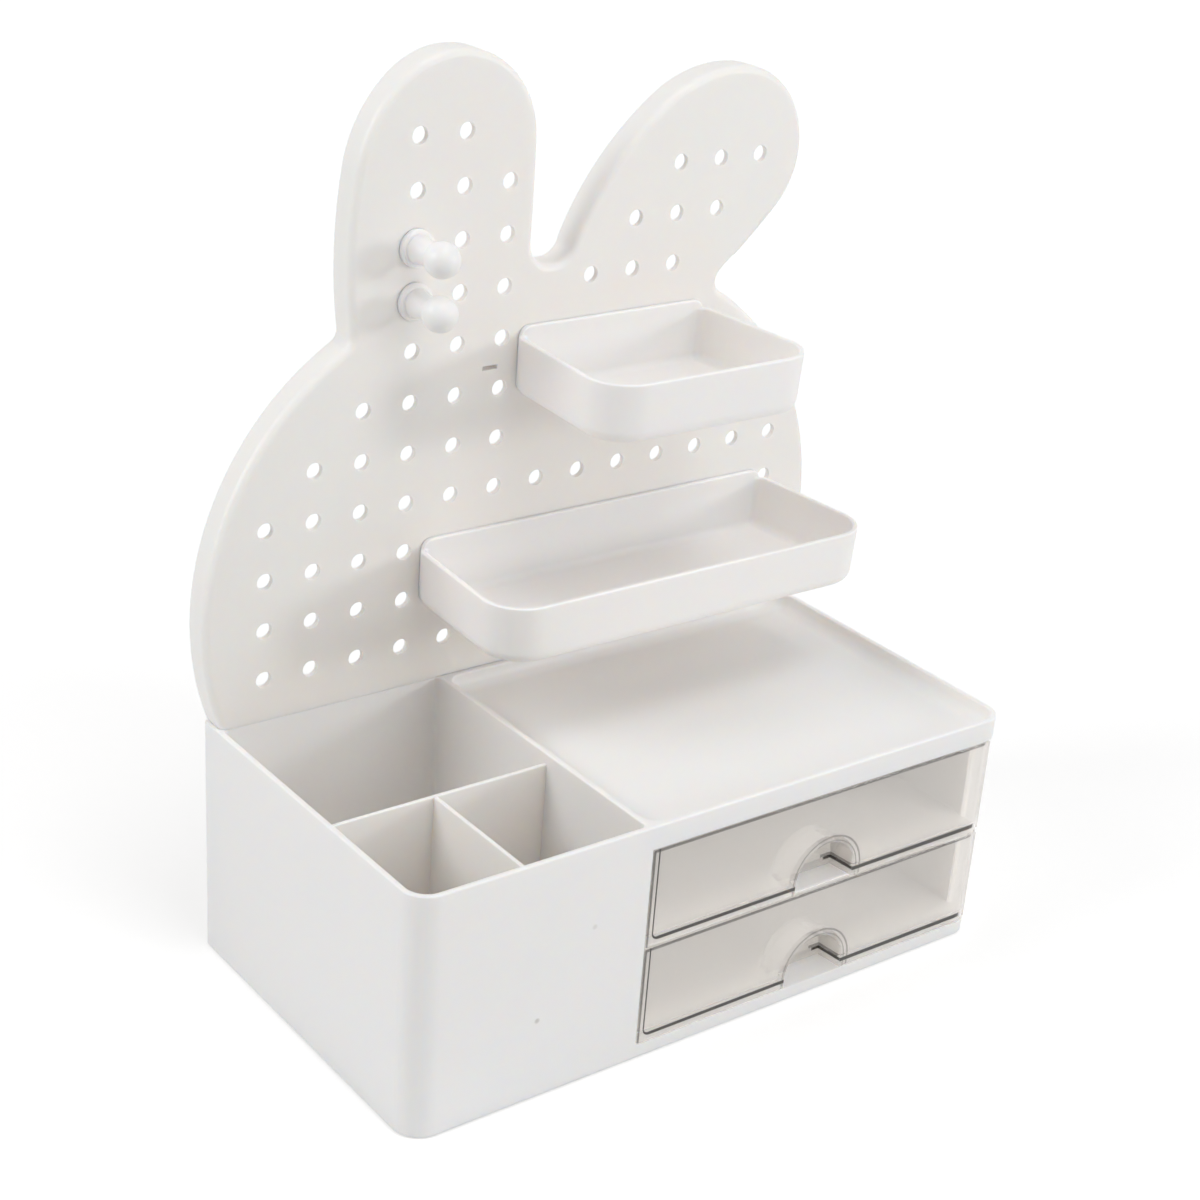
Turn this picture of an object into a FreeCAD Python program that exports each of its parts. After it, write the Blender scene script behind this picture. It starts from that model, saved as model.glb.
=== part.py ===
"""Rabbit-shaped pegboard desk organiser: casing with bins and drawer bay, two clear drawers,
a push-in pegboard, two push-in trays, two peg knobs and four foot pads.

Millimetres. X runs left to right, Y front to back and Z up. The origin is at the bottom
centre: the foot pads stand on Z = 0 and the casing is centred on X = 0 and Y = 0.
"""
import FreeCAD, Part
import math
import os

Vec = FreeCAD.Vector

# ---------------------------------------------------------------- driving dimensions
# Casing
CASE_WIDTH = 264.0            # across the top edge
CASE_DEPTH = 141.0
CASE_TOP = 94.3               # top edge above the desk
CASE_WALL = 2.2
SIDE_TAPER = 1.2              # each side leans in by this much at the bottom
FRONT_CORNER = 10.0           # radius of the two front corners
REAR_CORNER = 1.5
FLOOR_TOP = 5.7               # floor of the bins and of the drawer bay
FLOOR_THICKNESS = 2.4
BIN_FLOOR_ROUND = 3.0
BIN_CORNER = 2.0
CASE_EDGE_ROUND = 0.6         # all round the casing's top edges

# Bins
BINS_WIDTH = 95.0             # casing's left side to the right face of the partition
DIVIDER_WALL = 1.6
DIVIDER_DROP = 4.0            # divider tops below the casing's top edge
DIVIDER_EDGE_ROUND = 0.5
FRONT_BINS_DEPTH = 60.5       # casing's front to the middle of the cross divider
FRONT_BIN_WIDTH = 46.0        # casing's left side to the middle of the front divider

# Recessed flat top over the drawers
RECESS_DEPTH = 6.5
TOP_THICKNESS = 2.4
LIP_WALL = 2.2
RECESS_ROUND = 5.0            # fillet between the recess floor and its lip
RECESS_CORNER = 5.5

# Drawers
DRAWER_WALL = 2.2
DRAWER_GAP = 0.8              # between the two fronts
DRAWER_FLOOR_GAP = 0.3        # under a drawer
DRAWER_TOP_GAP = 0.6          # over the upper front
DRAWER_SIDE_GAP = 0.5
DRAWER_REAR_GAP = 2.0
DRAWER_FRONT_RISE = 1.9       # the front stands this much higher than the sides
DRAWER_ROUND = 2.0            # fillet between the inside walls and the floor
DRAWER_FRONT_CORNER = 1.0     # upright corners beside the casing's partition
DRAWER_REAR_CORNER = 4.0
DRAWER_INSIDE_CORNER = 0.4
DRAWER_EDGE_ROUND = 0.4
WRAP_LENGTH = 12.0            # the front returns this far along the casing's right side
WRAP_GAP = 0.3
SHELF_GAP = 0.3               # between the shelf and the lower drawer, above and in front

# Finger pull in each drawer's front
PULL_HALF_WIDTH = 16.0
PULL_STRAIGHT = 4.0           # straight legs under the half-round arch
PULL_DEPTH = 13.0
PULL_TAPER = 1.2              # the arch is this much smaller at its back
PULL_WALL = 2.0

# Pegboard
BOARD_DEPTH = 11.0            # front face to rear edge
BOARD_WALL = 2.2
BOARD_EDGE_ROUND = 2.8
NOTCH_ROUND = 5.0             # where the ears' outer sides meet the head
PITCH = 19.0                  # peg hole spacing, both ways
HOLE_DIAMETER = 6.2
FIRST_ROW_RISE = 16.4         # lowest row of holes above the casing's top edge
CENTRE_COLUMN = 6
HOLE_ROWS = [                 # columns of holes in each row, the lowest first
    range(0, 13), [0, 1, 2, 3, 12], [0, 1, 2, 3, 12], range(0, 13),
    range(1, 6), range(2, 6), range(3, 6),
    [3, 4, 5, 7, 8, 9], [3, 4, 5, 8, 9, 10], [3, 4, 5, 9, 10, 11], [3, 4],
]
# The outline is drawn on the peg grid, in pitches. Each shape runs round its discs, and a disc is
# given by its centre from the middle hole of the lowest row, its radius, and the radius of the
# arc that runs on to the next disc: 0 stands for a straight line.
HEAD_DISCS = [(-1.334, 1.175, 5.897, 0), (1.334, 1.175, 5.897, 0)]
LEFT_EAR_DISCS = [(-2.331, 6.184, 1.87, 47.7), (-2.184, 9.693, 1.781, 2.71), (-2.055, 9.136, 2.206, 10.28)]
RIGHT_EAR_DISCS = [(2.141, 7.167, 1.632, 12.2), (4.376, 9.039, 1.711, 2.83), (3.788, 8.794, 1.848, 6.24)]
EAR_GAP_BOTTOM = 7.3          # pitches from the lowest row to the bottom of the gap between the ears
EAR_GAP_ROUND = 0.44          # pitches: radius of both lower corners of that gap
BACK_RIB_PITCHES = 5          # the ribs behind the board stand this many pitches high
BACK_RIB_DEPTH = 4.0
BACK_RIB_WALL = 1.6

# Tabs that hold the pegboard in the casing
TAB_PITCHES = (-4.5, 0.5, 4.5)  # from the middle column of holes
TAB_WIDTH = 24.0
TAB_THICKNESS = 3.0
TAB_LENGTH = 16.0
TAB_LEAD = 1.0                # chamfer at the end of a tab
TAB_FIT = 0.25                # clearance all round a tab in its socket

# Trays
TRAY_HEIGHT = 22.4
TRAY_WALL = 2.0
TRAY_TAPER = 0.8              # each wall but the rear one leans in by this much at the bottom
TRAY_SPLAY = 4.5              # each side spreads by this much from the board to the front
TRAY_FRONT_CORNER = 16.0
TRAY_REAR_CORNER = 5.6
TRAY_BOTTOM_ROUND = 5.0
TRAY_FLOOR_ROUND = 3.0        # inside, between the floor and the walls
TRAY_EDGE_ROUND = 0.6         # on both sides of the rim
TRAY_BACK_RISE = 3.2          # the rear wall stands this much higher than the rim
TRAY_BACK_INSET = 2.0         # and ends this far inside the rear corners' tips
TRAY_BACK_CORNER = 4.5
# "middle" and "rim" place a tray on the peg grid, in pitches from the middle column and from the
# lowest row, and "tongues" are pitches from its middle.
SMALL_TRAY = {"middle": 1.59, "rim": 6.02, "width": 97.2, "depth": 64.2, "tongues": (-1, 1)}
LONG_TRAY = {"middle": 1.59, "rim": 2.03, "width": 173.6, "depth": 64.2, "tongues": (-2, 0, 2)}
SPARE_SLOT = -2.83            # a free slot, in pitches from the small tray's middle
TONGUE_DROP = 11.0            # tongues below the tray's rim
TONGUE_WIDTH = 6.0
TONGUE_THICKNESS = 1.2
TONGUE_REACH = 5.0            # past the board's front face
TONGUE_LEAD = 0.4
SLOT_FIT = 0.25               # clearance all round a tongue in its slot
SLEEVE_WALL = 1.2             # round each slot, behind the board's front wall
SLEEVE_REACH = 6.0            # past the board's front face

# Peg knobs
KNOB_PLACES = {"upper_peg_knob": (3, 8), "lower_peg_knob": (3, 7)}
KNOB_COLLAR_RADIUS = 6.8
KNOB_COLLAR_THICKNESS = 2.4
KNOB_COLLAR_CHAMFER = 0.8
KNOB_NECK_RADIUS = 5.2        # where the neck leaves the collar
KNOB_WAIST_RADIUS = 4.0       # where the neck meets the ball
KNOB_BALL_RADIUS = 6.4
KNOB_BALL_STANDOFF = 16.4     # ball centre to the board's front face
KNOB_PLUG_FIT = 0.7           # radial clearance of the plug in its hole
KNOB_DROP = 0.65              # the plug hangs this far below the middle of its hole
KNOB_PLUG_LENGTH = 6.0
KNOB_PLUG_LEAD = 0.8
KNOB_SLIT = 1.2

# Foot pads
PAD_RADIUS = 7.0
PAD_THICKNESS = 1.6
PAD_PROUD = 0.8               # the pads lift the casing by this much
PAD_INSET = 16.0              # pad centre from the casing's sides
PAD_RECESS_WALL = 1.4
PAD_FIT = 0.3
PAD_CHAMFER = 0.3

# ---------------------------------------------------------------- derived places
LEFT, RIGHT = -CASE_WIDTH / 2, CASE_WIDTH / 2
FRONT, REAR = -CASE_DEPTH / 2, CASE_DEPTH / 2
INNER_RIGHT = RIGHT - SIDE_TAPER - CASE_WALL
BOARD_FRONT = REAR - BOARD_DEPTH
PARTITION_RIGHT = LEFT + BINS_WIDTH
PARTITION_LEFT = PARTITION_RIGHT - CASE_WALL
CROSS_DIVIDER_Y = FRONT + FRONT_BINS_DEPTH
FRONT_DIVIDER_X = LEFT + FRONT_BIN_WIDTH
RECESS_FLOOR = CASE_TOP - RECESS_DEPTH
BAY_CEILING = RECESS_FLOOR - TOP_THICKNESS
SKIRT_BOTTOM = PAD_PROUD
FLOOR_BOTTOM = FLOOR_TOP - FLOOR_THICKNESS
DRAWER_BASE = FLOOR_TOP + DRAWER_FLOOR_GAP
DRAWER_HEIGHT = (BAY_CEILING - DRAWER_TOP_GAP - DRAWER_BASE - DRAWER_GAP) / 2
UPPER_DRAWER_BASE = DRAWER_BASE + DRAWER_HEIGHT + DRAWER_GAP
DRAWER_LEFT = PARTITION_RIGHT + DRAWER_SIDE_GAP
DRAWER_RIGHT = INNER_RIGHT - DRAWER_SIDE_GAP
DRAWER_REAR = BOARD_FRONT - DRAWER_REAR_GAP
WRAP_RIGHT = RIGHT - SIDE_TAPER - DRAWER_SIDE_GAP
WRAP_REAR = FRONT + WRAP_LENGTH
PULL_X = (DRAWER_LEFT + DRAWER_RIGHT) / 2
FIRST_ROW = CASE_TOP + FIRST_ROW_RISE
TAB_PLACES = [pitches * PITCH for pitches in TAB_PITCHES]
TAB_FRONT = (BOARD_FRONT + REAR - TAB_THICKNESS) / 2
KNOB_PLUG_RADIUS = HOLE_DIAMETER / 2 - KNOB_PLUG_FIT


# ---------------------------------------------------------------- helpers
def box(x0, x1, y0, y1, z0, z1):
    """Block between two opposite corners."""
    return Part.makeBox(x1 - x0, y1 - y0, z1 - z0, Vec(x0, y0, z0))


def rounded_outline(corners, z):
    """Closed wire at height z through corners (x, y, radius)."""
    points = [Vec(x, y, z) for x, y, _ in corners]
    arcs = []
    for index, (_, _, radius) in enumerate(corners):
        corner = points[index]
        back = (points[index - 1] - corner).normalize()
        ahead = (points[(index + 1) % len(points)] - corner).normalize()
        half = back.getAngle(ahead) / 2
        inward = (back + ahead).normalize()
        reach = radius / math.tan(half)
        middle = corner + inward * (radius / math.sin(half) - radius)
        arcs.append((corner + back * reach, middle, corner + ahead * reach))
    edges = []
    for index, (start, middle, end) in enumerate(arcs):
        edges.append(Part.Arc(start, middle, end).toShape())
        edges.append(Part.makeLine(end, arcs[(index + 1) % len(arcs)][0]))
    return Part.Wire(edges)


def rounded_rectangle(x0, x1, y0, y1, z, front_radius, rear_radius):
    """Closed wire at height z, front corners of one radius and rear corners of another."""
    return rounded_outline([(x0, y0, front_radius), (x1, y0, front_radius),
                            (x1, y1, rear_radius), (x0, y1, rear_radius)], z)


def rounded_block(x0, x1, y0, y1, z0, z1, front_radius, rear_radius):
    """Upright block with rounded corners."""
    wire = rounded_rectangle(x0, x1, y0, y1, z0, front_radius, rear_radius)
    return Part.Face(wire).extrude(Vec(0, 0, z1 - z0))


def tapered_block(bottom, top, z0, z1, front_radius, rear_radius):
    """Loft between two rounded rectangles, each given as (x0, x1, y0, y1)."""
    low = rounded_rectangle(*bottom, z0, front_radius, rear_radius)
    high = rounded_rectangle(*top, z1, front_radius, rear_radius)
    return Part.makeLoft([low, high], True, True)


def edges_where(shape, test):
    """Edges whose every end point and middle point passes the test."""
    chosen = []
    for edge in shape.Edges:
        points = [vertex.Point for vertex in edge.Vertexes] + [edge.CenterOfMass]
        if all(test(point) for point in points):
            chosen.append(edge)
    return chosen


def round_at_height(shape, height, radius):
    """Fillet the edges that lie at one height."""
    return shape.makeFillet(radius, edges_where(shape, lambda p: abs(p.z - height) < 1e-6))


def on_board(discs):
    """Discs given in pitches on the peg grid, as (x, z, radius, bridge) in millimetres."""
    return [(x * PITCH, FIRST_ROW + z * PITCH, radius * PITCH, arc * PITCH)
            for x, z, radius, arc in discs]


def bridge(disc, other):
    """Angles at which the outline leaves one disc and meets the next, and the bridging arc's centre."""
    x, z, radius, arc = disc
    next_x, next_z, next_radius, _ = other
    length = math.hypot(next_x - x, next_z - z)
    heading = math.atan2(next_z - z, next_x - x)
    if arc == 0:
        leave = arrive = heading - math.acos((radius - next_radius) / length)
        centre_x, centre_z = x, z
    else:
        near, far = arc - radius, arc - next_radius
        turn = math.acos((near ** 2 + length ** 2 - far ** 2) / (2 * near * length))
        centre_x = x + near * math.cos(heading + turn)
        centre_z = z + near * math.sin(heading + turn)
        leave = math.atan2(z - centre_z, x - centre_x)
        arrive = math.atan2(next_z - centre_z, next_x - centre_x)
    return leave, arrive, (centre_x, centre_z)


def belt(discs, y):
    """Wire at depth y that runs round discs (x, z, radius, bridge), anticlockwise from the front."""
    def at(centre_x, centre_z, radius, angle):
        return Vec(centre_x + radius * math.cos(angle), y, centre_z + radius * math.sin(angle))

    count = len(discs)
    bridges = [bridge(discs[index], discs[(index + 1) % count]) for index in range(count)]
    edges = []
    for index, (x, z, radius, arc) in enumerate(discs):
        start = bridges[index - 1][1]
        leave, arrive, centre = bridges[index]
        sweep = (leave - start) % (2 * math.pi)
        end = at(x, z, radius, leave)
        edges.append(Part.Arc(at(x, z, radius, start), at(x, z, radius, start + sweep / 2), end).toShape())
        next_x, next_z, next_radius, _ = discs[(index + 1) % count]
        reached = at(next_x, next_z, next_radius, arrive)
        if arc == 0:
            edges.append(Part.makeLine(end, reached))
            continue
        half = ((arrive - leave) % (2 * math.pi)) / 2
        edges.append(Part.Arc(end, at(*centre, arc, leave + half), reached).toShape())
    return Part.Wire(edges)


def hole_centre(column, row):
    """X and Z of a peg hole."""
    return (column - CENTRE_COLUMN) * PITCH, FIRST_ROW + row * PITCH


def pad_places():
    """Name and X, Y of each foot pad."""
    x = CASE_WIDTH / 2 - SIDE_TAPER - PAD_INSET
    y = CASE_DEPTH / 2 - PAD_INSET
    sides = {"left": -x, "right": x}
    ends = {"front": -y, "rear": y}
    return [(f"{end}_{side}_foot_pad", sides[side], ends[end]) for end in ends for side in sides]


# ---------------------------------------------------------------- casing
def case_block(inset, z0, z1):
    """The casing's outer form between two heights, drawn in by inset all round."""
    def outline(z):
        lean = SIDE_TAPER * (CASE_TOP - z) / (CASE_TOP - SKIRT_BOTTOM)
        return (LEFT + lean + inset, RIGHT - lean - inset, FRONT + inset, REAR - inset)
    rear_radius = max(REAR_CORNER - inset, 0.4)
    return tapered_block(outline(z0), outline(z1), z0, z1, FRONT_CORNER - inset, rear_radius)


def bins_cavity():
    """The open space of the three bins, before the dividers are set in it."""
    over = CASE_TOP + 1
    inside = case_block(CASE_WALL, FLOOR_TOP, over)
    keep = box(LEFT, PARTITION_LEFT, FRONT, BOARD_FRONT, FLOOR_TOP, over)
    cavity = inside.common(keep)
    corners = edges_where(cavity, lambda p: p.x > PARTITION_LEFT - 1e-6 or p.y > BOARD_FRONT - 1e-6)
    upright = [edge for edge in corners if abs(edge.tangentAt(edge.FirstParameter).z) > 0.9]
    cavity = cavity.makeFillet(BIN_CORNER, upright)
    return round_at_height(cavity, FLOOR_TOP, BIN_FLOOR_ROUND)


def dividers():
    """One wall across the bins, and one from it to the front."""
    top = CASE_TOP - DIVIDER_DROP
    half = DIVIDER_WALL / 2
    cross = box(LEFT + SIDE_TAPER + CASE_WALL / 2, PARTITION_LEFT + CASE_WALL / 2,
                CROSS_DIVIDER_Y - half, CROSS_DIVIDER_Y + half, FLOOR_BOTTOM, top)
    front = box(FRONT_DIVIDER_X - half, FRONT_DIVIDER_X + half,
                FRONT + CASE_WALL / 2, CROSS_DIVIDER_Y, FLOOR_BOTTOM, top)
    walls = cross.fuse(front).removeSplitter()
    rims = edges_where(walls, lambda p: abs(p.z - top) < 1e-6)
    rims = [edge for edge in rims if edge.Length > DIVIDER_WALL + 1e-3]
    return walls.makeFillet(DIVIDER_EDGE_ROUND, rims)


def top_recess():
    """The shallow tray sunk in the flat top, with a lip left all round it."""
    recess = rounded_block(PARTITION_RIGHT, RIGHT - LIP_WALL, FRONT + LIP_WALL,
                           BOARD_FRONT - LIP_WALL, RECESS_FLOOR, CASE_TOP + RECESS_ROUND,
                           FRONT_CORNER - LIP_WALL, RECESS_CORNER)
    return round_at_height(recess, RECESS_FLOOR, RECESS_ROUND)


def drawer_bay():
    """The space for the drawers, open at the front and round the right front corner."""
    bay = box(PARTITION_RIGHT, INNER_RIGHT, FRONT - 1, BOARD_FRONT, FLOOR_TOP, BAY_CEILING)
    corner = box(INNER_RIGHT - FRONT_CORNER, RIGHT + 1, FRONT - 1, WRAP_REAR + WRAP_GAP,
                 FLOOR_TOP, BAY_CEILING)
    return bay.fuse(corner)


def shelf():
    """The shelf that carries the upper drawer, cut back behind the lower drawer's raised front."""
    top = UPPER_DRAWER_BASE - DRAWER_FLOOR_GAP
    bottom = DRAWER_BASE + DRAWER_HEIGHT - DRAWER_FRONT_RISE + SHELF_GAP
    start = FRONT + DRAWER_WALL + SHELF_GAP
    behind_wrap = WRAP_REAR + WRAP_GAP
    right = WRAP_RIGHT - DRAWER_WALL - SHELF_GAP
    front = box(PARTITION_RIGHT - CASE_WALL / 2, right, start, behind_wrap, bottom, top)
    radius = FRONT_CORNER - DRAWER_WALL - SHELF_GAP
    front = front.cut(rounded_corner_cut(right, start, radius, bottom, top))
    rear = box(PARTITION_RIGHT - CASE_WALL / 2, INNER_RIGHT + CASE_WALL / 2,
               behind_wrap, BOARD_FRONT + CASE_WALL / 2, bottom, top)
    return front.fuse(rear)


def casing():
    """One moulding: bins, recessed top, drawer bay, and a hollow rear rail for the pegboard."""
    body = case_block(0, SKIRT_BOTTOM, CASE_TOP)
    rail_front = BOARD_FRONT + CASE_WALL
    channel = box(-INNER_RIGHT, INNER_RIGHT, rail_front, REAR - CASE_WALL,
                  SKIRT_BOTTOM - 1, CASE_TOP - CASE_WALL)
    under = case_block(CASE_WALL + SIDE_TAPER, SKIRT_BOTTOM, FLOOR_BOTTOM)
    under = under.common(box(LEFT, RIGHT, FRONT, BOARD_FRONT, SKIRT_BOTTOM, FLOOR_BOTTOM))
    under = under.cut(box(PARTITION_LEFT, PARTITION_RIGHT, FRONT, REAR, SKIRT_BOTTOM, FLOOR_BOTTOM))
    body = body.cut([bins_cavity(), top_recess(), drawer_bay(), channel, under])
    body = body.fuse([dividers(), shelf()])
    ring_radius = PAD_RADIUS + PAD_FIT + PAD_RECESS_WALL
    bosses = []
    recesses = []
    for _, x, y in pad_places():
        bosses.append(Part.makeCylinder(ring_radius, FLOOR_TOP - SKIRT_BOTTOM - 1,
                                        Vec(x, y, SKIRT_BOTTOM)))
        recesses.append(Part.makeCylinder(PAD_RADIUS + PAD_FIT, PAD_THICKNESS - SKIRT_BOTTOM,
                                          Vec(x, y, SKIRT_BOTTOM)))
    body = body.fuse(bosses).cut(recesses).removeSplitter()
    body = round_at_height(body, CASE_TOP, CASE_EDGE_ROUND)
    sockets = []
    for place in TAB_PLACES:
        half = TAB_WIDTH / 2 + TAB_FIT
        sockets.append(box(place - half, place + half, TAB_FRONT - TAB_FIT,
                           TAB_FRONT + TAB_THICKNESS + TAB_FIT, CASE_TOP - 2 * CASE_WALL, CASE_TOP + 1))
    return body.cut(sockets).removeSplitter()


# ---------------------------------------------------------------- pegboard
def board_slab(inset, y0, y1):
    """The rabbit outline, drawn in by inset, as a solid slab with its notches rounded.

    A block between the ears sets the height of the gap's bottom.
    """
    base = CASE_TOP + inset
    parts = []
    for discs in (HEAD_DISCS, LEFT_EAR_DISCS, RIGHT_EAR_DISCS):
        drawn_in = [(x, z, radius - inset, max(arc - inset, 0)) for x, z, radius, arc in on_board(discs)]
        parts.append(Part.Face(belt(drawn_in, y0)).extrude(Vec(0, y1 - y0, 0)))
    gap_bottom = FIRST_ROW + EAR_GAP_BOTTOM * PITCH - inset
    parts.append(box(LEFT_EAR_DISCS[0][0] * PITCH, RIGHT_EAR_DISCS[0][0] * PITCH, y0, y1,
                     gap_bottom - PITCH, gap_bottom))
    slab = parts[0].fuse(parts[1:])
    around = slab.BoundBox
    below = box(around.XMin - 1, around.XMax + 1, y0 - 1, y1 + 1, around.ZMin - 1, base)
    slab = slab.cut(below).removeSplitter()
    notches = notch_edges(slab, y1 - y0, base + 1)
    gap = [edge for edge in notches if abs(edge.CenterOfMass.z - gap_bottom) < 1e-6]
    slab = slab.makeFillet(EAR_GAP_ROUND * PITCH + inset, gap)
    return slab.makeFillet(NOTCH_ROUND + inset, notch_edges(slab, y1 - y0, base + 1))


def notch_edges(slab, depth, above):
    """Front-to-back edges higher than a given height where two outlines meet at an angle."""
    chosen = []
    for edge in slab.Edges:
        ends = [vertex.Point for vertex in edge.Vertexes]
        if len(ends) != 2 or abs(ends[0].y - ends[1].y) < depth - 1e-3:
            continue
        faces = [face for face in slab.Faces if any(edge.isSame(other) for other in face.Edges)]
        normals = [face.normalAt(*face.Surface.parameter(ends[0])) for face in faces]
        if normals[0].dot(normals[1]) < 0.99 and ends[0].z > above:
            chosen.append(edge)
    return chosen


def pegboard():
    """Thin moulded shell, open at the back, with peg holes, sleeved tray slots, ribs and tabs."""
    slab = board_slab(0, BOARD_FRONT, REAR)
    hollow = board_slab(BOARD_WALL, BOARD_FRONT + BOARD_WALL, REAR + 1)
    rim = edges_where(slab, lambda p: abs(p.y - BOARD_FRONT) < 1e-6)
    rim = [edge for edge in rim if edge.CenterOfMass.z > CASE_TOP + 1e-3]
    board = slab.makeFillet(BOARD_EDGE_ROUND, rim).cut(hollow)
    half_rib = BACK_RIB_WALL / 2
    rear_of_wall = BOARD_FRONT + BOARD_WALL
    ribs = []
    for place in TAB_PLACES:
        rib = box(place - half_rib, place + half_rib, rear_of_wall, rear_of_wall + BACK_RIB_DEPTH,
                  CASE_TOP, CASE_TOP + BACK_RIB_PITCHES * PITCH)
        ribs.append(rib.common(hollow))
    openings = []
    for row, columns in enumerate(HOLE_ROWS):
        for column in columns:
            x, z = hole_centre(column, row)
            openings.append(Part.makeCylinder(HOLE_DIAMETER / 2, 2 * BOARD_WALL,
                                              Vec(x, BOARD_FRONT - 1, z), Vec(0, 1, 0)))
    sleeves = []
    for x, z in slot_places():
        sleeves.append(slot_block(x, z, SLEEVE_WALL, BOARD_FRONT + BOARD_WALL / 2, SLEEVE_REACH))
        openings.append(slot_block(x, z, 0, BOARD_FRONT - 1, SLEEVE_REACH + 1))
    tabs = [tab(place) for place in TAB_PLACES]
    return board.fuse(ribs + sleeves).cut(openings).fuse(tabs).removeSplitter()


def slot_block(x, z, wall, y0, reach):
    """A tray slot's space, with a wall added all round, from depth y0 back to its reach."""
    half_width = TONGUE_WIDTH / 2 + SLOT_FIT + wall
    half_height = TONGUE_THICKNESS / 2 + SLOT_FIT + wall
    return box(x - half_width, x + half_width, y0, BOARD_FRONT + reach,
               z - half_height, z + half_height)


def tab(place):
    """Flat tab under the pegboard that drops in a socket of the casing."""
    half = TAB_WIDTH / 2
    low = CASE_TOP - TAB_LENGTH
    blade = box(place - half, place + half, TAB_FRONT, TAB_FRONT + TAB_THICKNESS,
                low, CASE_TOP + BOARD_WALL / 2)
    return blade.makeChamfer(TAB_LEAD, edges_where(blade, lambda p: abs(p.z - low) < 1e-6))


def slot_at(spec, pitches):
    """X and Z of a tongue or slot of a tray, some pitches from the tray's middle."""
    return (spec["middle"] + pitches) * PITCH, FIRST_ROW + spec["rim"] * PITCH - TONGUE_DROP


def tongue_places(spec):
    """X and Z of each tongue of a tray."""
    return [slot_at(spec, pitches) for pitches in spec["tongues"]]


def slot_places():
    """X and Z of every tray slot in the pegboard."""
    return tongue_places(SMALL_TRAY) + tongue_places(LONG_TRAY) + [slot_at(SMALL_TRAY, SPARE_SLOT)]


# ---------------------------------------------------------------- drawers
def arch_wire(half_width, straight, y, z0):
    """Upright arch outline at depth y, standing on height z0."""
    shoulder = z0 + straight
    points = [Vec(PULL_X - half_width, y, z0), Vec(PULL_X - half_width, y, shoulder),
              Vec(PULL_X, y, shoulder + half_width), Vec(PULL_X + half_width, y, shoulder),
              Vec(PULL_X + half_width, y, z0)]
    return Part.Wire([
        Part.makeLine(points[0], points[1]),
        Part.Arc(points[1], points[2], points[3]).toShape(),
        Part.makeLine(points[3], points[4]),
        Part.makeLine(points[4], points[0]),
    ])


def arch_block(inset, y0, y1, z0):
    """Arch that runs front to back and narrows by the pull's taper."""
    outer = PULL_HALF_WIDTH - inset
    front = arch_wire(outer, PULL_STRAIGHT, y0, z0)
    back = arch_wire(outer - PULL_TAPER, PULL_STRAIGHT, y1, z0)
    return Part.makeLoft([front, back], True, True)


def drawer(base):
    """Clear drawer whose front wraps round the casing's corner, with a moulded finger pull."""
    top = base + DRAWER_HEIGHT
    side_top = top - DRAWER_FRONT_RISE
    wall = DRAWER_WALL
    front = rounded_block(DRAWER_LEFT, WRAP_RIGHT, FRONT, WRAP_REAR, base, top,
                          DRAWER_FRONT_CORNER, DRAWER_FRONT_CORNER)
    front = front.cut(rounded_corner_cut(WRAP_RIGHT, FRONT, FRONT_CORNER, base, top))
    outline = edges_where(front, lambda p: abs(p.z - base) < 1e-6 or abs(p.z - top) < 1e-6)
    outline = [edge for edge in outline if edge.CenterOfMass.y < WRAP_REAR - 1e-3]
    front = front.makeFillet(DRAWER_EDGE_ROUND, outline)
    body = rounded_block(DRAWER_LEFT, DRAWER_RIGHT, FRONT + wall, DRAWER_REAR, base, side_top,
                         DRAWER_FRONT_CORNER, DRAWER_REAR_CORNER)
    shell = front.fuse(body).removeSplitter()
    floor = base + wall
    corner = (WRAP_RIGHT - wall, FRONT + wall, FRONT_CORNER - wall)
    inner_front = box(DRAWER_LEFT + wall, WRAP_RIGHT - wall, FRONT + wall, WRAP_REAR - wall, floor, top + 1)
    inner_front = inner_front.cut(rounded_corner_cut(*corner, floor, top + 1))
    inner_body = rounded_block(DRAWER_LEFT + wall, DRAWER_RIGHT - wall, FRONT + wall,
                               DRAWER_REAR - wall, floor, top + 1,
                               DRAWER_INSIDE_CORNER, DRAWER_REAR_CORNER - wall)
    hollow = inner_front.fuse(inner_body).removeSplitter()
    hollow = round_at_height(hollow, floor, DRAWER_ROUND)
    over_sides = box(DRAWER_LEFT - 1, WRAP_RIGHT - wall, FRONT + wall, WRAP_REAR + 1, side_top, top + 1)
    over_sides = over_sides.cut(rounded_corner_cut(*corner, side_top, top + 1))
    shell = shell.cut([hollow, over_sides])
    outer_arch = arch_block(0, FRONT, FRONT + PULL_DEPTH, base)
    inner_arch = arch_block(PULL_WALL, FRONT - 0.01, FRONT + PULL_DEPTH - PULL_WALL, base - 0.01)
    return shell.fuse(outer_arch).cut(inner_arch).removeSplitter()


def rounded_corner_cut(x, y, radius, z0, z1):
    """The waste outside a rounded right front corner at (x, y)."""
    block = box(x - radius, x + 1, y - 1, y + radius, z0 - 1, z1 + 1)
    post = Part.makeCylinder(radius, z1 - z0 + 2, Vec(x - radius, y + radius, z0 - 1))
    return block.cut(post)


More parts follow.
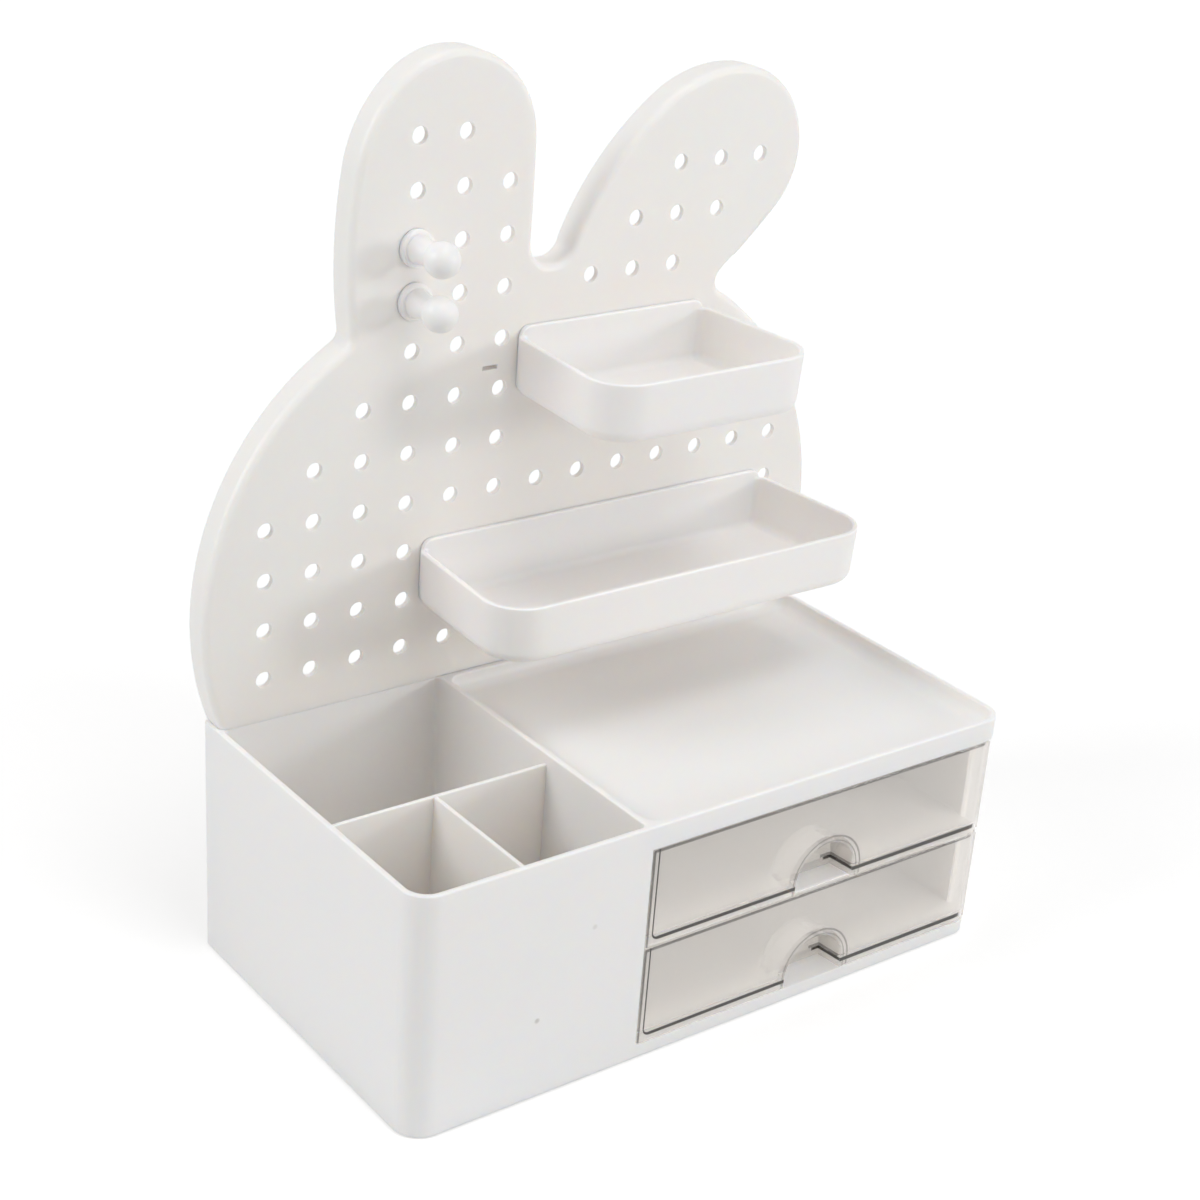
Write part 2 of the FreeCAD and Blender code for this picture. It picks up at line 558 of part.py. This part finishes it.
# ---------------------------------------------------------------- trays
def tray_outline(spec, inset, z):
    """A tray's outline at height z, drawn in by inset, as a closed wire."""
    middle = spec["middle"] * PITCH
    lean = TRAY_TAPER * (FIRST_ROW + spec["rim"] * PITCH - z) / TRAY_HEIGHT + inset
    front_half = spec["width"] / 2 - lean
    rear_half = front_half - TRAY_SPLAY
    front = BOARD_FRONT - spec["depth"] + lean
    rear = BOARD_FRONT - inset
    return rounded_outline([
        (middle - front_half, front, TRAY_FRONT_CORNER - inset),
        (middle + front_half, front, TRAY_FRONT_CORNER - inset),
        (middle + rear_half, rear, TRAY_REAR_CORNER - inset),
        (middle - rear_half, rear, TRAY_REAR_CORNER - inset),
    ], z)


def tray(spec):
    """Open tray with big front corners, and flat tongues at the back that push into slots."""
    top = FIRST_ROW + spec["rim"] * PITCH
    bottom = top - TRAY_HEIGHT
    floor = bottom + TRAY_WALL
    outer = Part.makeLoft([tray_outline(spec, 0, bottom), tray_outline(spec, 0, top)], True, True)
    outer = round_at_height(outer, bottom, TRAY_BOTTOM_ROUND)
    inner = Part.makeLoft([tray_outline(spec, TRAY_WALL, floor), tray_outline(spec, TRAY_WALL, top + 1)],
                          True, True)
    inner = round_at_height(inner, floor, TRAY_FLOOR_ROUND)
    shell = round_at_height(outer.cut(inner), top, TRAY_EDGE_ROUND)
    tongues = [tongue(x, z) for x, z in tongue_places(spec)]
    return shell.fuse([tray_back(spec)] + tongues).removeSplitter()


def tray_back(spec):
    """Flat rear wall with rounded corners, higher than the tray's other walls."""
    middle = spec["middle"] * PITCH
    half = spec["width"] / 2 - TRAY_SPLAY - TRAY_BACK_INSET
    rim = FIRST_ROW + spec["rim"] * PITCH
    face = BOARD_FRONT - TRAY_WALL
    plate = box(middle - half, middle + half, face, BOARD_FRONT, rim - TRAY_HEIGHT, rim + TRAY_BACK_RISE)
    corners = [edge for edge in plate.Edges if abs(edge.Length - TRAY_WALL) < 1e-6]
    plate = plate.makeFillet(TRAY_BACK_CORNER, corners)
    return plate.makeFillet(TRAY_EDGE_ROUND, edges_where(plate, lambda p: abs(p.y - face) < 1e-6))


def tongue(x, z):
    """Flat tongue that reaches back through a slot of the pegboard."""
    half_width, half_height = TONGUE_WIDTH / 2, TONGUE_THICKNESS / 2
    end = BOARD_FRONT + TONGUE_REACH
    blade = box(x - half_width, x + half_width, BOARD_FRONT - TRAY_WALL / 2, end,
                z - half_height, z + half_height)
    return blade.makeChamfer(TONGUE_LEAD, edges_where(blade, lambda p: abs(p.y - end) < 1e-6))


# ---------------------------------------------------------------- small pieces
def peg_knob(column, row):
    """Turned knob: plug, collar, tapering neck and ball, with a slit across the plug."""
    x, hole_z = hole_centre(column, row)
    z = hole_z - KNOB_DROP
    plug = KNOB_PLUG_RADIUS
    ball = KNOB_BALL_RADIUS
    neck_end = math.sqrt(ball ** 2 - KNOB_WAIST_RADIUS ** 2)
    centre = -KNOB_BALL_STANDOFF

    def at(radius, depth):
        return Vec(x + radius, BOARD_FRONT + depth, z)

    outline = [
        at(0, KNOB_PLUG_LENGTH), at(plug - KNOB_PLUG_LEAD, KNOB_PLUG_LENGTH),
        at(plug, KNOB_PLUG_LENGTH - KNOB_PLUG_LEAD), at(plug, 0),
        at(KNOB_COLLAR_RADIUS, 0), at(KNOB_COLLAR_RADIUS, KNOB_COLLAR_CHAMFER - KNOB_COLLAR_THICKNESS),
        at(KNOB_COLLAR_RADIUS - KNOB_COLLAR_CHAMFER, -KNOB_COLLAR_THICKNESS),
        at(KNOB_NECK_RADIUS, -KNOB_COLLAR_THICKNESS),
        at(KNOB_WAIST_RADIUS, centre + neck_end),
    ]
    edges = [Part.makeLine(a, b) for a, b in zip(outline, outline[1:])]
    edges.append(Part.Arc(outline[-1], at(ball, centre), at(0, centre - ball)).toShape())
    edges.append(Part.makeLine(at(0, centre - ball), outline[0]))
    turned = Part.Face(Part.Wire(edges)).revolve(Vec(x, 0, z), Vec(0, 1, 0), 360)
    slit = box(x - KNOB_SLIT / 2, x + KNOB_SLIT / 2, BOARD_FRONT + BOARD_WALL,
               BOARD_FRONT + KNOB_PLUG_LENGTH + 1, z - 2 * plug, z + 2 * plug)
    return turned.cut(slit)


def foot_pad(x, y):
    """Soft round pad, glued in the recess of a boss under the casing."""
    pad = Part.makeCylinder(PAD_RADIUS, PAD_THICKNESS, Vec(x, y, 0))
    return pad.makeChamfer(PAD_CHAMFER, edges_where(pad, lambda p: abs(p.z) < 1e-6))


# ---------------------------------------------------------------- build
def build():
    nodes = {
        "casing": casing(),
        "pegboard": pegboard(),
        "upper_drawer": drawer(UPPER_DRAWER_BASE),
        "lower_drawer": drawer(DRAWER_BASE),
        "small_tray": tray(SMALL_TRAY),
        "long_tray": tray(LONG_TRAY),
    }
    for name, (column, row) in KNOB_PLACES.items():
        nodes[name] = peg_knob(column, row)
    for name, x, y in pad_places():
        nodes[name] = foot_pad(x, y)
    return nodes


os.makedirs("parts", exist_ok=True)
for node_name, shape in build().items():
    shape.exportStep(f"parts/{node_name}.step")
    size = shape.BoundBox
    print(node_name, shape.isValid(), len(shape.Solids), round(shape.Volume),
          [round(v, 2) for v in (size.XMin, size.XMax, size.YMin, size.YMax, size.ZMin, size.ZMax)])
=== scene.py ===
"""Looks of a rabbit-eared pegboard desk organiser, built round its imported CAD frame.

Metres, in the CAD's frame: X left to right, Y front to back, Z up, the desk at Z = 0.
Every CAD piece keeps its own mesh and gets a procedural material: satin white plastics, clear
plastic for the drawers and grey rubber for the foot pads.
"""
import bpy
from mathutils import Matrix, Vector

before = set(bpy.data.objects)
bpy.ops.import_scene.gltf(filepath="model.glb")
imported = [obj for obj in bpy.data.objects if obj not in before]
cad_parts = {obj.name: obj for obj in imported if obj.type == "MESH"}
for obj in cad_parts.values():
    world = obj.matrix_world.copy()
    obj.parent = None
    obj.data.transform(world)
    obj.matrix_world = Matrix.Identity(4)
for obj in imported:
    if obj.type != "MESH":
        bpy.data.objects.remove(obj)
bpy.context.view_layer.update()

# ---------------------------------------------------------------- camera and light
SENSOR = 36.0                          # millimetres, the camera's square sensor
LENS = 68.714                          # millimetres
CAMERA_PLACE = Vector((-0.47384, -0.57963, 0.47928))
CAMERA_RIGHT = Vector((0.80002, -0.59570, 0.07143))
CAMERA_DOWN = Vector((-0.19446, -0.37008, -0.90842))
NEAR_CLIP = 0.01

WORLD_LEVEL = 0.42
FLOOR_HALF = 15.0
FLOOR_COLOUR = (0.80, 0.80, 0.80)
FLOOR_LIFT = (0.38, 0.8)               # white added to the seen floor, near the object and far off
FLOOR_RISE = (0.3, 2.5)                # distances from the origin that the lift rises between
WHITE_RAYS = ("Is Camera Ray", "Is Glossy Ray", "Is Transmission Ray")     # see a white world

# Soft round lamps, all turned to the object's middle: place, size, watts
LAMP_TARGET = Vector((0.0, 0.0, 0.12))
LAMPS = {
    "key": ((1.6, -1.7, 0.6), 0.45, 10.0),
    "front": ((0.9, -1.8, 1.2), 1.2, 6.0),
    "high": ((0.1, -0.6, 2.0), 1.0, 9.0),
    "left": ((-1.7, 0.45, 1.2), 1.0, 13.0),
}

# ---------------------------------------------------------------- white plastics
CASING_WHITE, CASING_TINT = (0.965, 0.955, 0.94), (0.965, 0.945, 0.92)
BOARD_WHITE, BOARD_TINT = (0.965, 0.918, 0.895), (0.965, 0.902, 0.877)
TRAY_WHITE, TRAY_TINT = (0.975, 0.948, 0.925), (0.97, 0.938, 0.912)
PAD_GREY, PAD_TINT = (0.62, 0.61, 0.59), (0.58, 0.57, 0.55)
INNER_PAINTED_FILL = (0.985, 0.950, 0.912)    # painted fill: the casing's inward faces are painted lighter and creamier, standing in for bounced light
GATE_GREY = (0.24, 0.23, 0.22)

SATIN, SMOOTH, RUBBERY = (0.36, 0.46), (0.3, 0.4), (0.7, 0.85)     # ranges of roughness
FINE_GRAIN, RUBBER_GRAIN = 0.00002, 0.00005                        # depths of the mould grain
SINK_DEPTH = 0.0002                    # depth of the slow waves left by cooling
GLOW_REACH = (1.0, 0.85, 0.7)          # how far red, green and blue light travel in the plastic
GLOW_SCALE = 0.0012                    # small, because more darkens the bins and trays inside
PLASTIC_IOR = 1.5

# Noises: scale per metre, detail
CLOUDS = (14.0, 3.0)
SHEEN_PATCHES = (60.0, 4.0)
SINK_WAVES = (18.0, 1.0)
MOULD_GRAIN = (2600.0, 2.0)
CLOUD_EDGES = (0.35, 0.65)             # the noise values that the tint fades between
PATCH_EDGES = (0.3, 0.7)               # and those for roughness and haze

# The casing's front and sides lie outside these, the inward faces within them get a painted fill,
# and two gate marks are on its front
INNER_X, INNER_Y = 0.1305, -0.069
CASING_FRONT = -0.0705
GATE_MARKS = ((-0.08128, 0.03203, 0.4), (-0.0596, 0.0622, 0.2))        # across, up, strength
GATE_EDGES = (0.0005, 0.0013)          # distances that a mark fades out between

# ---------------------------------------------------------------- clear drawers
CLEAR = (0.99, 0.985, 0.98)
CLEAR_SHADOW = (0.95, 0.95, 0.945)     # light let through to what lies behind the clear plastic
CLEAR_IOR = 1.1                        # low, so that the thin walls stay clear
CLEAR_ROUGH = (0.015, 0.04)
CLEAR_PATCHES = (40.0, 2.0)
CLEAR_WAVES, CLEAR_WAVE_DEPTH = (22.0, 1.0), 0.0001
COAT_IOR, COAT_ROUGH = 1.57, 0.03      # gloss like that of styrene
HAZE_COLOUR = (0.96, 0.92, 0.875)
HAZE = (0.21, 0.26)                    # share of haze in the clear plastic
HAZE_CLOUDS = (9.0, 1.0)
# painted dark lines that stand in for refraction at the drawers' fillets and pull arch
REFRACTION_LINE_BLACK = (0.004, 0.0035, 0.003)
# painted grey shade along the drawers' top rims and left sides
EDGE_SHADE_GREY = (0.16, 0.155, 0.15)

# The lower drawer as the CAD has it, and the step up to the upper one
DRAWER_LEFT, DRAWER_RIGHT = -0.0365, 0.1303
DRAWER_FRONT = -0.0705
DRAWER_BASE, DRAWER_HEIGHT = 0.006, 0.039
DRAWER_STEP = 0.0398

# Refraction and shade at the drawers' moulded edges are painted as thin dark lines. Levels are
# above a drawer's bottom edge.
FRONT_SKIN = DRAWER_FRONT + 0.0003     # only the front faces lie before this
EDGE_SOFT = 0.0001
RIM_LEVEL = DRAWER_HEIGHT - 0.001
SIDE_LINE = DRAWER_LEFT + 0.001

LINE_LEFT = DRAWER_LEFT + 0.0025       # the line's upright part
LINE_RIGHT = DRAWER_RIGHT - 0.0028
LINE_LEVEL = 0.00305
LINE_ROUND = 0.0025
LINE_SOFT = 0.00008
THIN, THICK, THICKER = 0.00025, 0.0007, 0.0002         # half widths: upright, level, more at right
THIN_END, THICK_START = LINE_LEFT - 0.0005, LINE_LEFT + 0.003
THICKER_END = 0.12

PULL_MIDDLE = (DRAWER_LEFT + DRAWER_RIGHT) / 2
PULL_WALL = (PULL_MIDDLE + 0.0081, PULL_MIDDLE + 0.0171)    # spans the pocket's right wall
PULL_BACK = DRAWER_FRONT + 0.014
PULL_STRAIGHT = 0.004                  # straight legs under the arch
# painted dark refraction edges of the pull's arch
ARCH_EDGES = ((0.0161, 0.00042), (0.0143, 0.00025))    # radius, half width
ARCH_DARKNESS = 0.72


class Nodes:
    """The node tree of a material or world, with short calls for the nodes used here."""

    def __init__(self, holder, output):
        holder.use_nodes = True
        self.nodes = holder.node_tree.nodes
        self.links = holder.node_tree.links
        self.nodes.clear()
        self.surface = self.nodes.new(output).inputs["Surface"]

    def feed(self, socket, value):
        """Link a socket to an output, or give it a plain number or colour."""
        if isinstance(value, bpy.types.NodeSocket):
            self.links.new(value, socket)
        elif socket.type == "RGBA":
            socket.default_value = (*value, 1.0)
        else:
            socket.default_value = value

    def add(self, kind, values, **settings):
        """A node, with values or links for its inputs by name or number."""
        node = self.nodes.new(kind)
        for name, value in settings.items():
            setattr(node, name, value)
        for socket, value in values.items():
            self.feed(node.inputs[socket], value)
        return node

    def math(self, operation, *values):
        return self.add("ShaderNodeMath", dict(enumerate(values)), operation=operation).outputs[0]

    def largest(self, first, *others):
        for other in others:
            first = self.math("MAXIMUM", first, other)
        return first

    def every(self, first, *others):
        """1 only where all the masks are 1."""
        for other in others:
            first = self.math("MULTIPLY", first, other)
        return first

    def spread(self, value, low, high, edges):
        """A value mapped from the range of the edges to low and high, and held between them."""
        node = self.add("ShaderNodeMapRange", {
            "Value": value, "From Min": edges[0], "From Max": edges[1],
            "To Min": low, "To Max": high})
        return node.outputs["Result"]

    def above(self, value, edge, soft=EDGE_SOFT):
        """1 where the value is over the edge, 0 where it is under."""
        return self.spread(value, 0.0, 1.0, (edge - soft, edge + soft))

    def below(self, value, edge, soft=EDGE_SOFT):
        return self.spread(value, 1.0, 0.0, (edge - soft, edge + soft))

    def seen(self):
        """1 for rays from the camera, and for those that mirrors and glass send on."""
        path = self.add("ShaderNodeLightPath", {})
        return self.largest(*(path.outputs[ray] for ray in WHITE_RAYS))


class Tree(Nodes):
    """A material that is worked out from the object's own coordinates."""

    def __init__(self, name):
        self.material = bpy.data.materials.new(name)
        super().__init__(self.material, "ShaderNodeOutputMaterial")
        self.place = self.add("ShaderNodeTexCoord", {}).outputs["Object"]

    def axes(self):
        """The object's own X, Y and Z."""
        return self.add("ShaderNodeSeparateXYZ", {0: self.place}).outputs

    def noise(self, kind):
        """One of the noises above, in the object's own coordinates."""
        scale, detail = kind
        node = self.add("ShaderNodeTexNoise",
                        {"Vector": self.place, "Scale": scale, "Detail": detail})
        return node.outputs["Fac"]

    def reach(self, operation, other=(0.0, 0.0, 0.0)):
        """The distance from another place, or the length from the object's origin."""
        node = self.add("ShaderNodeVectorMath", {0: self.place, 1: other}, operation=operation)
        return node.outputs["Value"]

    def blend(self, factor, first, second):
        """A colour between two colours."""
        node = self.add("ShaderNodeMix", {"Factor": factor}, data_type="RGBA")
        for letter, value in (("A", first), ("B", second)):
            self.feed(next(i for i in node.inputs if i.name == letter and i.type == "RGBA"), value)
        return next(o for o in node.outputs if o.type == "RGBA")

    def bump(self, kind, distance, under=None):
        """A normal with one of the noises as its relief, on top of another normal."""
        values = {"Strength": 1.0, "Distance": distance, "Height": self.noise(kind)}
        if under is not None:
            values["Normal"] = under
        return self.add("ShaderNodeBump", values).outputs["Normal"]

    def mix(self, factor, first, second):
        """A shader between two shaders."""
        return self.add("ShaderNodeMixShader", {0: factor, 1: first, 2: second}).outputs[0]

    def show(self, shader):
        self.feed(self.surface, shader)
        return self.material


# ---------------------------------------------------------------- materials
def moulded_plastic(name, colour, tint, rough=SATIN, grain=FINE_GRAIN, on_casing=False):
    """Moulding with a faint cloudy tint, fine mould grain, slow waves and a soft inner glow."""
    tree = Tree(name)
    shade = tree.blend(tree.spread(tree.noise(CLOUDS), 0.0, 1.0, CLOUD_EDGES), colour, tint)
    if on_casing:
        # on the casing: painted bounce light on the inside, and the gate marks
        shade = casing_painted_fill_and_gate_marks(tree, shade)
    shader = tree.add("ShaderNodeBsdfPrincipled", {
        "Base Color": shade,
        "Roughness": tree.spread(tree.noise(SHEEN_PATCHES), *rough, PATCH_EDGES),
        "IOR": PLASTIC_IOR,
        "Normal": tree.bump(MOULD_GRAIN, grain, tree.bump(SINK_WAVES, SINK_DEPTH)),
        "Subsurface Weight": 1.0,
        "Subsurface Radius": GLOW_REACH,
        "Subsurface Scale": GLOW_SCALE,
    })
    return tree.show(shader.outputs["BSDF"])


def casing_painted_fill_and_gate_marks(tree, shade):
    """The casing's inside painted lighter and creamier as painted bounce light, and the gate marks
    on its front.
    """
    x, y, _ = tree.axes()
    inside = tree.every(tree.above(x, -INNER_X), tree.below(x, INNER_X), tree.above(y, INNER_Y))
    # painted bounce light: the inward faces are painted lighter and creamier than the outside
    shade = tree.blend(inside, shade, INNER_PAINTED_FILL)
    for across, up, strength in GATE_MARKS:
        distance = tree.reach("DISTANCE", (across, CASING_FRONT, up))
        spot = tree.spread(distance, strength, 0.0, GATE_EDGES)
        shade = tree.blend(spot, shade, GATE_GREY)
    return shade


def painted_drawer_lines(tree):
    """Masks of a drawer's painted black refraction line and arch edges, and of the painted grey
    shade lines along its rims.
    """
    x, y, z = tree.axes()
    level = tree.math("MODULO", tree.math("SUBTRACT", z, DRAWER_BASE), DRAWER_STEP)
    front = tree.below(y, FRONT_SKIN)

    def radius(across, up):
        squares = [tree.math("MULTIPLY", side, side) for side in (across, up)]
        return tree.math("SQRT", tree.math("ADD", *squares))

    def past(value, edge):
        return tree.math("MAXIMUM", tree.math("SUBTRACT", value, edge), 0.0)

    def off(value, middle):
        return tree.math("ABSOLUTE", tree.math("SUBTRACT", value, middle))

    # Painted refraction line: an upright line at the left and a level one over the floor, joined
    # by a round corner
    corner = radius(past(LINE_LEFT + LINE_ROUND, x), past(LINE_LEVEL + LINE_ROUND, level))
    half_width = tree.math("ADD", tree.spread(x, THIN, THICK, (THIN_END, THICK_START)),
                           tree.spread(x, 0.0, THICKER, (THICK_START, THICKER_END)))
    inside = tree.above(tree.math("SUBTRACT", half_width, off(corner, LINE_ROUND)), 0.0, LINE_SOFT)
    black = tree.every(inside, front, tree.below(x, LINE_RIGHT))

    # The same painted refraction line on the right wall of the pull pocket
    pocket = tree.every(
        tree.above(level, LINE_LEVEL - THICK), tree.below(level, LINE_LEVEL + THICK),
        tree.above(y, FRONT_SKIN), tree.below(y, PULL_BACK),
        tree.above(x, PULL_WALL[0]), tree.below(x, PULL_WALL[1]))
    black = tree.largest(black, pocket)

    # The two edges of the pull's arch, painted dark as refraction
    arch = radius(tree.math("SUBTRACT", x, PULL_MIDDLE), past(level, PULL_STRAIGHT))
    for size, half in ARCH_EDGES:
        edge = tree.spread(off(arch, size), ARCH_DARKNESS, 0.0,
                           (half - EDGE_SOFT, half + EDGE_SOFT))
        black = tree.largest(black, tree.every(edge, front))

    # painted grey shade along the top rim and the left side
    rims = tree.largest(tree.above(level, RIM_LEVEL), tree.below(x, SIDE_LINE))
    return black, tree.every(rims, front)


def clear_plastic(name):
    """Clear polished styrene with a light haze, which lets the lamps reach what is behind it, and
    with painted dark lines for refraction and shade at its edges.
    """
    tree = Tree(name)
    black, grey = painted_drawer_lines(tree)
    clear = tree.add("ShaderNodeBsdfPrincipled", {
        # the base colour carries the painted dark refraction lines and the painted grey edge shade
        "Base Color": tree.blend(black, tree.blend(grey, CLEAR, EDGE_SHADE_GREY), REFRACTION_LINE_BLACK),
        "Roughness": tree.spread(tree.noise(CLEAR_PATCHES), *CLEAR_ROUGH, PATCH_EDGES),
        "IOR": CLEAR_IOR,
        "Normal": tree.bump(CLEAR_WAVES, CLEAR_WAVE_DEPTH),
        "Transmission Weight": 1.0,
        "Coat Weight": 1.0,
        "Coat Roughness": COAT_ROUGH,
        "Coat IOR": COAT_IOR,
    })
    haze = tree.add("ShaderNodeBsdfDiffuse", {"Color": HAZE_COLOUR})
    share = tree.every(tree.spread(tree.noise(HAZE_CLOUDS), *HAZE, PATCH_EDGES),
                       tree.math("SUBTRACT", 1.0, tree.largest(black, grey)))
    hazy = tree.mix(share, clear.outputs["BSDF"], haze.outputs["BSDF"])
    through = tree.add("ShaderNodeBsdfTransparent", {"Color": CLEAR_SHADOW})
    path = tree.add("ShaderNodeLightPath", {})
    return tree.show(tree.mix(path.outputs["Is Shadow Ray"], hazy, through.outputs["BSDF"]))


def floor_material():
    """Pale floor that reads white where nothing shades it."""
    tree = Tree("floor")
    lift = tree.spread(tree.reach("LENGTH"), *FLOOR_LIFT, FLOOR_RISE)
    diffuse = tree.add("ShaderNodeBsdfDiffuse", {"Color": FLOOR_COLOUR})
    glow = tree.add("ShaderNodeEmission", {"Strength": tree.every(tree.seen(), lift)})
    both = tree.add("ShaderNodeAddShader",
                    {0: diffuse.outputs["BSDF"], 1: glow.outputs["Emission"]})
    return tree.show(both.outputs["Shader"])


# ---------------------------------------------------------------- stage
def white_world():
    """Even soft light, and pure white where it is seen."""
    world = bpy.data.worlds.new("studio")
    bpy.context.scene.world = world
    tree = Nodes(world, "ShaderNodeOutputWorld")
    strength = tree.spread(tree.seen(), WORLD_LEVEL, 1.0, (0.0, 1.0))
    background = tree.add("ShaderNodeBackground", {"Color": (1.0, 1.0, 1.0), "Strength": strength})
    tree.feed(tree.surface, background.outputs["Background"])


def stage():
    """White world, pale floor and soft lamps."""
    bpy.context.scene.view_settings.view_transform = "Standard"
    white_world()
    bpy.ops.mesh.primitive_plane_add(size=2 * FLOOR_HALF, location=(0.0, 0.0, 0.0))
    floor = bpy.context.object
    floor.name = "floor"
    floor.data.materials.append(floor_material())
    for name, (place, size, watts) in LAMPS.items():
        light = bpy.data.lights.new(name, "AREA")
        light.shape = "DISK"
        light.size = size
        light.energy = watts
        lamp = bpy.data.objects.new(name, light)
        lamp.location = place
        aim = LAMP_TARGET - Vector(place)
        lamp.rotation_euler = aim.to_track_quat("-Z", "Y").to_euler()
        bpy.context.scene.collection.objects.link(lamp)


def camera():
    """The photograph's own view."""
    data = bpy.data.cameras.new("camera")
    data.sensor_width = SENSOR
    data.lens = LENS
    data.clip_start = NEAR_CLIP
    eye = bpy.data.objects.new("camera", data)
    right = CAMERA_RIGHT.normalized()
    back = right.cross(-CAMERA_DOWN).normalized()
    up = back.cross(right)
    turn = Matrix((right, up, back)).transposed()
    eye.matrix_world = Matrix.Translation(CAMERA_PLACE) @ turn.to_4x4()
    bpy.context.scene.collection.objects.link(eye)
    bpy.context.scene.camera = eye


def finish_nodes():
    """Give every CAD node its material."""
    casing = moulded_plastic("casing_plastic", CASING_WHITE, CASING_TINT, on_casing=True)
    board = moulded_plastic("board_plastic", BOARD_WHITE, BOARD_TINT)
    tray = moulded_plastic("tray_plastic", TRAY_WHITE, TRAY_TINT)
    knob = moulded_plastic("knob_plastic", TRAY_WHITE, TRAY_TINT, SMOOTH)
    clear = clear_plastic("clear_plastic")
    pad = moulded_plastic("pad_rubber", PAD_GREY, PAD_TINT, RUBBERY, RUBBER_GRAIN)
    finishes = {
        "casing": casing, "pegboard": board, "small_tray": tray, "long_tray": tray,
        "upper_peg_knob": knob, "lower_peg_knob": knob,
        "upper_drawer": clear, "lower_drawer": clear,
    }
    for name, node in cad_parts.items():
        for slot in node.material_slots:
            slot.material = finishes.get(name, pad)


stage()
camera()
finish_nodes()

bpy.context.view_layer.update()
